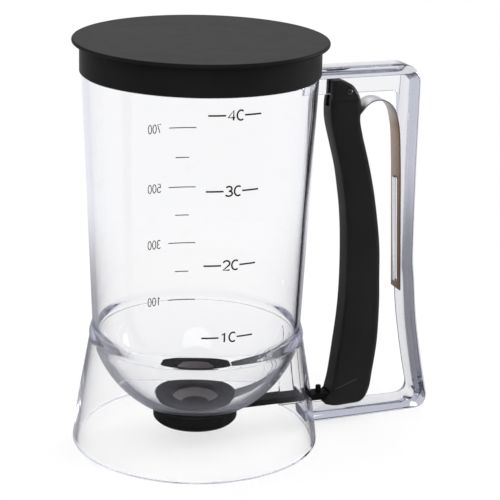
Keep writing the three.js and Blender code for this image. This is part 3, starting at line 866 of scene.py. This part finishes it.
# Collar: the black cup that hangs under the bowl. The slide runs in it, in at a window on the handle's side,
# and batter drops through the round hole in its floor.
drip_radius = 0.0125
ledge_thickness = 0.0012


def collar_cup():
    bore = collar_radius - collar_wall
    return turned("valve_collar_cup", rounded([
        (drip_radius, collar_low.z, edge_softness),
        (bore, collar_low.z, edge_softness),
        (collar_radius, collar_low.z + collar_wall, edge_softness),
        (collar_radius, collar_high.z, edge_softness),
        (bore, collar_high.z, edge_softness / 2),
        (bore, collar_inside, edge_softness),
        (drip_radius, collar_inside, edge_softness),
    ]), valve_steps)


collar = collar_cup()
cut(collar, box_between(
    "window",
    (0, -guide_gap, collar_inside),
    (collar_radius + collar_wall, guide_gap, collar_high.z + collar_wall),
))
half_wall_radius = collar_radius - collar_wall / 2
ledge_low = foot_top + fit
ledge_top = ledge_low + ledge_thickness
for side in (-1, 1):
    near = side * (leg_reach + fit)
    far = side * half_wall_radius
    ledge = box_between("ledge", (-leg_width / 2, near, ledge_low), (leg_width / 2, far, ledge_top))
    cut(ledge, rod("ledge_limit", half_wall_radius, 0, floor_level), "INTERSECT")
    cut(collar, ledge, "UNION")
finished(collar, valve_black, "jug", "valve_plastic", "valve_collar")

# Valve slide: a flat black plate that covers the outlet, on a long arm with a small finger stub. The round
# bar at the arm's end sits in the trigger's foot, which draws the plate aside.
slide_arm_width = 0.008
slide_disc_radius = 0.008
slide_softness = 0.0004
link_reach = slide_high.x - axis - link_radius
stub_setback = 0.0088
stub_radius = 0.0013
stub_height = 0.0033


def flat_plate(name, outline, low, high, softness):
    """A level plate from an (x, y) outline, between two levels, with rounded rims."""
    piece = slab(name, outline, high - low, softness)
    turn = Matrix.Rotation(-pi / 2, 4, "X")
    piece.data.transform(Matrix.Translation((0, 0, (low + high) / 2)) @ turn)
    return piece


def slide_outline():
    """The arm, and the disc with its shoulders drawn in so that they stay inside the collar."""
    half = slide_arm_width / 2
    shoulder_shares = [(0.61, 0.5), (0.4, 0.825)]
    taper = [
        (along * slide_disc_radius, max(across * slide_disc_radius, half))
        for along, across in shoulder_shares
    ]
    back = arc((0, 0), slide_disc_radius, 90, 270, steps=30)
    far_taper = [(along, -across) for along, across in taper[::-1]]
    return [(link_reach, -half), (link_reach, half), *taper, *back, *far_taper]


slide = flat_plate("valve_slide_arm", slide_outline(), slide_bottom, slide_top, slide_softness)
link = bar_along_y("link", link_radius, slide_arm_width, link_reach, link_level)
cut(slide, link, "UNION")
stub_reach = link_reach - stub_setback
stub_top = slide_top + stub_height
stub = turned("stub", rounded([
    (0, link_level, 0),
    (stub_radius, link_level, 0),
    (stub_radius, stub_top, edge_softness),
    (0, stub_top, 0),
]), steps=48)
stub.data.transform(Matrix.Translation((stub_reach, 0, 0)))
cut(slide, stub, "UNION")
finished(slide, valve_black, "valve_slide", "valve_plastic", "valve_slide")

# Trigger: a curved lever of satin black plastic with well-rounded edges. Its head straddles the web on the
# pin, and its hollow foot holds the bar of the slide.
trigger_low, trigger_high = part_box("trigger")
trigger_width = trigger_high.y - trigger_low.y
trigger_depth = 0.02
channel_depth = 0.0072
running_fit = 0.00045
link_drift = 0.00075
trigger_inner_softness = 0.0022
trigger_outer_softness = 0.0034
trigger_foot_softness = 0.0016
head_line_drop = 0.0042
head_inset = 0.0004
foot_line_width = 0.00035
foot_line_rise = 0.00012


def lever_places(shares):
    """Places on the lever, from shares of its depth and of its length below the pin."""
    return between((pivot_reach, pivot_level), (pivot_reach + trigger_depth, link_level), shares)


def trigger_outline():
    """The lever's outline, and how many of its points are on the inner side and on the foot."""
    inner_shares = [
        (-0.395, -0.037), (-0.4, 0.007), (-0.425, 0.048), (-0.395, 0.1), (-0.245, 0.178), (-0.115, 0.245),
        (-0.03, 0.308), (0.06, 0.392), (0.115, 0.498), (0.13, 0.623), (0.1, 0.724), (0.02, 0.827),
        (-0.075, 0.932), (-0.15, 0.98),
    ]
    foot_shares = [(-0.15, 0.988), (-0.365, 1.012), (-0.27, 1.026)]
    outer_shares = [
        (-0.035, 1.035), (0.3, 1.035), (0.665, 1.03), (0.855, 0.992), (0.935, 0.926), (1.025, 0.823),
        (1.04, 0.7), (1.015, 0.617), (0.985, 0.522), (0.925, 0.45), (0.785, 0.336), (0.62, 0.239),
        (0.43, 0.147), (0.345, 0.094), (0.36, 0.061), (0.34, 0.033), (0.25, 0.004), (0.085, -0.021),
        (-0.2, -0.037),
    ]
    inner = through(lever_places(inner_shares))
    foot = lever_places(foot_shares)
    outer = through([foot[-1], *lever_places(outer_shares)])
    return [*inner, *foot[:-1], *outer], len(inner), len(foot)


def trigger_body():
    outline, inner_count, foot_count = trigger_outline()
    outer_count = len(outline) - inner_count - foot_count
    fade_points = 24
    outer = []
    for i in range(outer_count + 1):
        share = min(1, i / fade_points, (outer_count - i) / fade_points)
        outer.append(trigger_inner_softness + share * (trigger_outer_softness - trigger_inner_softness))
    radii = [trigger_inner_softness] * inner_count + [trigger_foot_softness] * (foot_count - 1) + outer
    return slab("trigger_lever", outline, trigger_width, radii, steps=6)


def foot_line(side):
    """The raised line that the mould leaves across each side of the foot."""
    end_shares = [(-0.05, 0.972), (0.49, 0.945)]
    start, end = (Vector(place) for place in lever_places(end_shares))
    aside = (end - start).orthogonal().normalized() * foot_line_width / 2
    outline = [tuple(start - aside), tuple(end - aside), tuple(end + aside), tuple(start + aside)]
    name = "foot_line_front" if side < 0 else "foot_line_rear"
    return slab(name, outline, 2 * foot_line_rise, middle=side * trigger_width / 2)


trigger = trigger_body()
far_reach = pivot_reach + 2 * trigger_depth
near_reach = pivot_reach - trigger_depth
for side in (-1, 1):
    cut(trigger, box_between(
        "cheek_step",
        (near_reach, side * (trigger_width / 2 - head_inset), pivot_level - head_line_drop),
        (far_reach, side * trigger_width, handle_top),
    ))
channel_half = web_thickness / 2 + running_fit
cut(trigger, box_between(
    "channel",
    (near_reach, -channel_half, pivot_level - channel_depth),
    (far_reach, channel_half, handle_top),
))
pocket_half = slide_arm_width / 2 + fit
socket_reach = link_radius + fit
cut(trigger, box_between(
    "socket",
    (link_reach - socket_reach, -pocket_half, link_level - socket_reach - link_drift),
    (link_reach + socket_reach, pocket_half, link_level + socket_reach),
))
cut(trigger, box_between(
    "mouth",
    (near_reach, -pocket_half, slide_bottom - fit - link_drift),
    (link_reach, pocket_half, slide_top + running_fit),
))
trigger_black = black_plastic(
    "trigger_black_plastic", colour=(0.014, 0.014, 0.0142), roughness=0.42, shine=0.1,
)
finished(trigger, trigger_black, "trigger", "trigger_plastic", "trigger")
# The raised lines on the foot get a lighter black: a painted highlight for the light that catches the seam.
foot_line_painted_highlight = black_plastic(
    "painted_highlight_black_plastic", colour=(0.05, 0.05, 0.05), roughness=0.4, shine=0.3,
)
for side in (-1, 1):
    finished(foot_line(side), foot_line_painted_highlight, "trigger", "trigger_plastic")

# Pin: a short bar of darkened steel with domed ends, pressed through both cheeks of the trigger's head.
pin_dome = 0.0009
pin_colour = (0.12, 0.12, 0.123)
pin_roughness = 0.2


def steel(name, colour, roughness, brushed=(1, 1, 1)):
    """Steel with fine lines along one way, where the scale across the lines is the larger."""
    shade_shares = (0.9, 1.08)
    gloss_range = (-0.05, 0.07)
    line_grain = 400
    line_depth = 0.00001
    line_strength = 0.3
    material, tree, shader = new_material(name)
    place = wired(tree, "TexCoord", "Object")
    stretched = wired(tree, "Mapping", "Vector", {"Scale": brushed, "Vector": place})
    lines = wired(tree, "TexNoise", "Fac", {"Scale": line_grain, "Detail": 3, "Vector": stretched})
    uneven(tree, shader, colour, shade_shares, lines, roughness, gloss_range, lines)
    feed(shader, {"Metallic": 1})
    bump(tree, shader, lines, line_depth, line_strength)
    return material


def pin_mesh():
    """A rod with domed ends, turned upright and then laid along Y through the pivot."""
    half = (pin_high.y - pin_low.y) / 2
    quarter = arc((0, 0), 1, 0, 90, steps=6)
    dome = [(pin_radius * out, half - pin_dome + pin_dome * rise) for out, rise in quarter]
    far_dome = [(radius, -level) for radius, level in dome[::-1]]
    pin = turned("trigger_pin_bar", [*far_dome, *dome], steps=48)
    to_pivot = Matrix.Translation((pivot_reach, 0, pivot_level))
    pin.data.transform(to_pivot @ Matrix.Rotation(pi / 2, 4, "X"))
    return pin


pin_steel = steel("dark_pin_steel", pin_colour, pin_roughness)
finished(pin_mesh(), pin_steel, "trigger", "pin_steel", "trigger_pin")

# Leaf spring: a thin steel strip. It starts in the trigger's side, arches over and runs down the web as a
# straight leg, and a slot in the leg lets the web's tongue through. The real strip bends as the trigger is
# squeezed; here it keeps its rest shape.
leaf_width = leaf_high.y - leaf_low.y
leaf_slot_width = 0.0038
leaf_softness = 0.00012
# Painted reflections: the leg's tan stands in for the warm surroundings that it reflects, and the arch's
# light grey for the bright room above it.
leaf_leg_painted_reflection = (0.33, 0.24, 0.175)
leaf_arch_painted_reflection = (0.7, 0.69, 0.7)
leaf_roughness = 0.34
leaf_brushing = (6, 6, 0.6)
arch_reflection_start_share = 0.6


def leaf_line():
    """The strip's line, from where it starts in the trigger over the arch and down the leg."""
    arch_shares = [
        (0.12, -0.098), (0.243, -0.068), (0.355, -0.045), (0.471, -0.034), (0.601, -0.033), (0.746, -0.044),
        (0.859, -0.069), (0.92, -0.106), (0.96, -0.153), (1, -leg_top_share),
    ]
    leg_steps = 24
    corner = (leg_top_reach, pivot_level + lever_length)
    arch = between((pivot_reach, pivot_level), corner, arch_shares)
    top = Vector(arch[-1])
    leg = [tuple(top.lerp(leaf_foot, step / leg_steps)) for step in range(1, leg_steps + 1)]
    return through(arch, steps=6) + leg


def mixed(tree, share, first, second, blend="MIX"):
    """Two colours mixed by a share."""
    inputs = {"Factor": share, "A": first, "B": second}
    return wired(tree, "Mix", "Result", inputs, data_type="RGBA", blend_type=blend)


def recoloured(material, share, colour, blend="MIX"):
    """Mixes a second colour into the one that a material has."""
    tree = material.node_tree
    shader = tree.nodes["Principled BSDF"]
    own_colour = shader.inputs["Base Color"].links[0].from_socket
    feed(shader, {"Base Color": mixed(tree, share, own_colour, colour, blend)})
    return material


def upward(tree, kind):
    """How high a point lies, or how far its surface faces up."""
    return wired(tree, "SeparateXYZ", "Z", {"Vector": wired(tree, "TexCoord", kind)})


def spring_steel_strip():
    """Spring steel with painted reflections: a dark tan down the leg, turning light grey over the arch."""
    material = steel("spring_steel_strip", leaf_leg_painted_reflection, leaf_roughness, leaf_brushing)
    tree = material.node_tree
    # Painted reflection: the colour turns from the leg's tan to the arch's light grey with height.
    arch_reflection_start = leg_top_level + arch_reflection_start_share * (leaf_high.z - leg_top_level)
    heights = {"From Min": arch_reflection_start, "From Max": leaf_high.z, "Value": upward(tree, "Object")}
    rise = wired(tree, "MapRange", "Result", heights)
    return recoloured(material, rise, (*leaf_arch_painted_reflection, 1))


def band(line, thickness):
    """The outline of a strip of one thickness that follows a line."""
    left, right = [], []
    for i, (reach, level) in enumerate(line):
        along = way_along(line, i).normalized() * thickness / 2
        left.append((reach - along.y, level + along.x))
        right.append((reach + along.y, level - along.x))
    return left + right[::-1]


strip = band(leaf_line(), leaf_thickness)
leaf = slab("leaf_spring_strip", strip, leaf_width, leaf_softness, steps=2)
slot_radius = leaf_slot_width / 2
slot_foot = leaf_foot.y + slot_margin
slot_outline = [
    *arc((0, slot_foot + slot_radius), slot_radius, 180, 360),
    *arc((0, slot_foot + slot_length - slot_radius), slot_radius, 0, 180),
]
slot_tool = slab("leaf_slot", slot_outline, handle_width)
slot_tool.data.transform(
    Matrix.Translation((axis + leaf_foot.x, 0, 0)) @ Matrix.Rotation(pi / 2, 4, "Z")
    @ Matrix.Translation((-axis, 0, 0))
)
cut(leaf, slot_tool)
softly_shaded(leaf)
leaf.data.materials.clear()
leaf.data.materials.append(spring_steel_strip())
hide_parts("leaf_spring")
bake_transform(leaf)

# Lid: a matt black moulding that presses on. A wide flat top overhangs a straight skirt round the neck, and
# a plug ring underneath fits inside the rim.
lid_low, lid_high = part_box("lid")
lid_radius = (lid_high.y - lid_low.y) / 2
lid_wall = 0.0018
lid_band_depth = 0.0018
lid_plug_wall = 0.0015
lid_bore = neck_radius + fit
lid_skirt_radius = lid_bore + lid_wall
lid_edge_softness = 0.0009
lid_underside = rim_level + fit
# The top's added grey is a painted sheen for the overhead light that the flat top catches.
lid_top_painted_sheen = (0.0265, 0.0265, 0.0265)
lid_sheen_turn = 0.9


def lid_outline():
    top = lid_high.z
    band = top - lid_band_depth
    plug = container_bore - fit
    plug_bore = plug - lid_plug_wall
    return rounded([
        (0, lid_underside, 0),
        (plug_bore, lid_underside, edge_softness),
        (plug_bore, lid_low.z, edge_softness),
        (plug, lid_low.z, edge_softness),
        (plug, lid_underside, 0),
        (lid_bore, lid_underside, 0),
        (lid_bore, edge_level + fit, edge_softness),
        (lid_skirt_radius, edge_level + fit, edge_softness),
        (lid_skirt_radius, band, edge_softness),
        (lid_radius, band, lid_edge_softness),
        (lid_radius, top, lid_edge_softness),
        (0, top, 0),
    ])


def lid_black():
    """Black plastic with a painted sheen: grey added where the surface faces up, for the light the top
    catches.
    """
    material = black_plastic(
        "lid_matt_black",
        colour=(0.0118, 0.0118, 0.012),
        roughness=0.42,
        shine=0.02,
        grain=1400,
        depth=0.00005,
        strength=0.4,
    )
    tree = material.node_tree
    # Painted sheen: grey added to the colour where the surface faces up.
    painted_top_sheen = ramp(tree, upward(tree, "Normal"), [(lid_sheen_turn, (0, 0, 0)), (1, lid_top_painted_sheen)])
    return recoloured(material, 1, painted_top_sheen, "ADD")


lid = turned("lid_cap", lid_outline())
finished(lid, lid_black(), "lid", "lid_plastic", "lid")

# Studio: a pale table that fades into the white room, and soft lamps. The room that gloss sees is dark
# overhead and on the camera's side, which draws the clear plastic's edges.
table_radius = 0.6
table_steps = 96
table_fade_start = 0.2
table_fade_end = 0.42
table_whitening = 0.7
table_roughness = 0.6
table_colour = (0.96, 0.96, 0.96)
# Reflections see the table in a dark grey: a painted shade for the shadowed floor under the object.
table_painted_shade_for_gloss = (0.33, 0.33, 0.35)
table_drop = 0.0001
white = (1, 1, 1, 1)
first_bounce = 0.5
camera_side = (-0.36, -0.93, 0)
room_greys = [(0, 0.74), (0.5, 0.82), (1, 0.98)]
gloss_greys_by_level = [(0, 0.7), (0.4, 1), (0.64, 0.62), (0.8, 0.4), (1, 0.3)]
gloss_greys_by_side = [(0.35, 1), (0.6, 0.6), (0.8, 0.15), (1, 0.1)]
room_blueness = 1.01
room_inside_glass = [(0, (0.8, 0.81, 0.87)), (0.5, (0.78, 0.79, 0.86)), (1, (0.7, 0.71, 0.77))]
lamp_aim = (0, 0, 0.09)
lamp_places = {"key": (-0.35, -0.85, 1.3), "fill": (1.3, 0.1, 0.35), "back": (0.2, 1.1, 1.1)}
lamp_sizes = {"key": 0.9, "fill": 0.35, "back": 0.8}
lamp_powers = {"key": 3, "fill": 9, "back": 1.6}


def pale_table():
    rim = arc((0, 0), table_radius, 0, 360, table_steps)[:-1]
    mesh = bpy.data.meshes.new("table")
    mesh.from_pydata([(x, y, -table_drop) for x, y in rim], [], [tuple(range(table_steps))])
    material, tree, shader = new_material("pale_table")
    mesh.materials.append(material)
    place = wired(tree, "TexCoord", "Object")
    reach = wired(tree, "VectorMath", "Value", {0: place}, operation="LENGTH")
    reaches = {"From Min": table_fade_start, "From Max": table_fade_end, "Value": reach}
    fade = wired(tree, "MapRange", "Result", reaches, interpolation_type="SMOOTHSTEP")
    open_way = wired(tree, "BsdfTransparent", "BSDF")
    faded = wired(tree, "MixShader", "Shader", {"Fac": fade, 1: shader.outputs["BSDF"], 2: open_way})
    path = tree.nodes.new("ShaderNodeLightPath").outputs
    depth = {0: path["Glossy Depth"], 1: first_bounce}
    unreflected = wired(tree, "Math", "Value", depth, operation="LESS_THAN")
    # Painted shade: what has bounced off a glossy surface sees the table dark grey.
    colour = ramp(tree, unreflected, [(0, table_painted_shade_for_gloss), (1, table_colour)])
    feed(shader, {"Roughness": table_roughness, "Specular IOR Level": 0, "Base Color": colour})
    ways = {0: path["Is Transmission Ray"], 1: unreflected, 2: path["Is Camera Ray"]}
    seen_plainly = wired(tree, "Math", "Value", ways, operation="MULTIPLY_ADD")
    whitening = wired(tree, "Math", "Value", {0: seen_plainly, 1: table_whitening}, operation="MULTIPLY")
    plain_white = wired(tree, "Emission", "Emission")
    whitened = wired(tree, "MixShader", "Shader", {"Fac": whitening, 1: faded, 2: plain_white})
    feed(tree.nodes["Material Output"], {"Surface": whitened})
    return placed("table", mesh)


def white_room():
    """White to the camera and straight through glass. Gloss sees a room that is dark on the camera's side
    and bright at the far side, and what has turned about inside glass sees a grey one."""
    world = bpy.data.worlds.new("room")
    bpy.context.scene.world = world
    world.use_nodes = True
    tree = world.node_tree
    tree.nodes.clear()
    out = tree.nodes.new("ShaderNodeOutputWorld")
    path = tree.nodes.new("ShaderNodeLightPath").outputs
    place = wired(tree, "TexCoord", "Generated")

    def share_along(direction):
        """How far a way through the room points along a direction, from 0 to 1."""
        along = wired(tree, "VectorMath", "Value", {0: place, 1: direction}, operation="DOT_PRODUCT")
        return wired(tree, "MapRange", "Result", {"From Min": -1, "Value": along})

    def greys(source, stops):
        return ramp(tree, source, [(at, (value, value, value * room_blueness)) for at, value in stops])

    level = share_along((0, 0, 1))
    gloss_by_level = greys(level, gloss_greys_by_level)
    gloss_by_side = greys(share_along(camera_side), gloss_greys_by_side)
    gloss = mixed(tree, 1, gloss_by_level, gloss_by_side, "MULTIPLY")
    inner = ramp(tree, level, room_inside_glass)
    depth = {0: path["Glossy Depth"], 1: first_bounce}
    reflected = wired(tree, "Math", "Value", depth, operation="GREATER_THAN")
    through_glass = mixed(tree, reflected, white, inner)
    seen = mixed(tree, path["Is Glossy Ray"], greys(level, room_greys), gloss)
    seen = mixed(tree, path["Is Transmission Ray"], seen, through_glass)
    seen = mixed(tree, path["Is Camera Ray"], seen, white)
    feed(out, {"Surface": wired(tree, "Background", "Background", {"Color": seen})})


def lamp(name):
    light = bpy.data.lights.new(name, "AREA")
    light.shape = "DISK"
    light.size = lamp_sizes[name]
    light.energy = lamp_powers[name]
    place = Vector(lamp_places[name])
    lamp_object = placed(name, light)
    lamp_object.location = place
    lamp_object.rotation_mode = "QUATERNION"
    lamp_object.rotation_quaternion = (Vector(lamp_aim) - place).to_track_quat("-Z", "Y")


pale_table()
white_room()
for name in lamp_places:
    lamp(name)

# Camera: a long lens that looks down a little from above the lid, as the photograph was taken. It stands to
# the left of the square side view, away from the handle, and is rolled slightly.
view_turn = radians(-21)
view_tilt = radians(17.444)
view_roll = radians(1.479)
view_distance = 0.8616
view_length = 136.3
sensor = 36
nearest_seen = 0.05
aim_across = 0.023824
aim_level = 0.091004


def photo_camera():
    lens = bpy.data.cameras.new("camera")
    lens.sensor_width = sensor
    lens.lens = view_length
    lens.clip_start = nearest_seen
    camera = placed("camera", lens)
    back = Vector((sin(view_turn) * cos(view_tilt), -cos(view_turn) * cos(view_tilt), sin(view_tilt)))
    level_right = Vector((cos(view_turn), sin(view_turn), 0))
    level_up = back.cross(level_right)
    right = level_right * cos(view_roll) + level_up * sin(view_roll)
    up = level_up * cos(view_roll) - level_right * sin(view_roll)
    target = Vector((axis, 0, aim_level)) + level_right * aim_across
    turned_to_target = Matrix((right, up, back)).transposed().to_4x4()
    camera.matrix_world = Matrix.Translation(target + back * view_distance) @ turned_to_target
    bpy.context.scene.camera = camera


photo_camera()
bpy.context.scene.view_settings.view_transform = "Standard"

# Light paths: the thick clear walls turn light round inside them many times before it leaves, and a path
# that is cut short there shows as a black streak that clear plastic doesn't have.
most_turns = 96
paths = bpy.context.scene.cycles
paths.max_bounces = most_turns
paths.glossy_bounces = most_turns
paths.transmission_bounces = most_turns
paths.transparent_max_bounces = most_turns
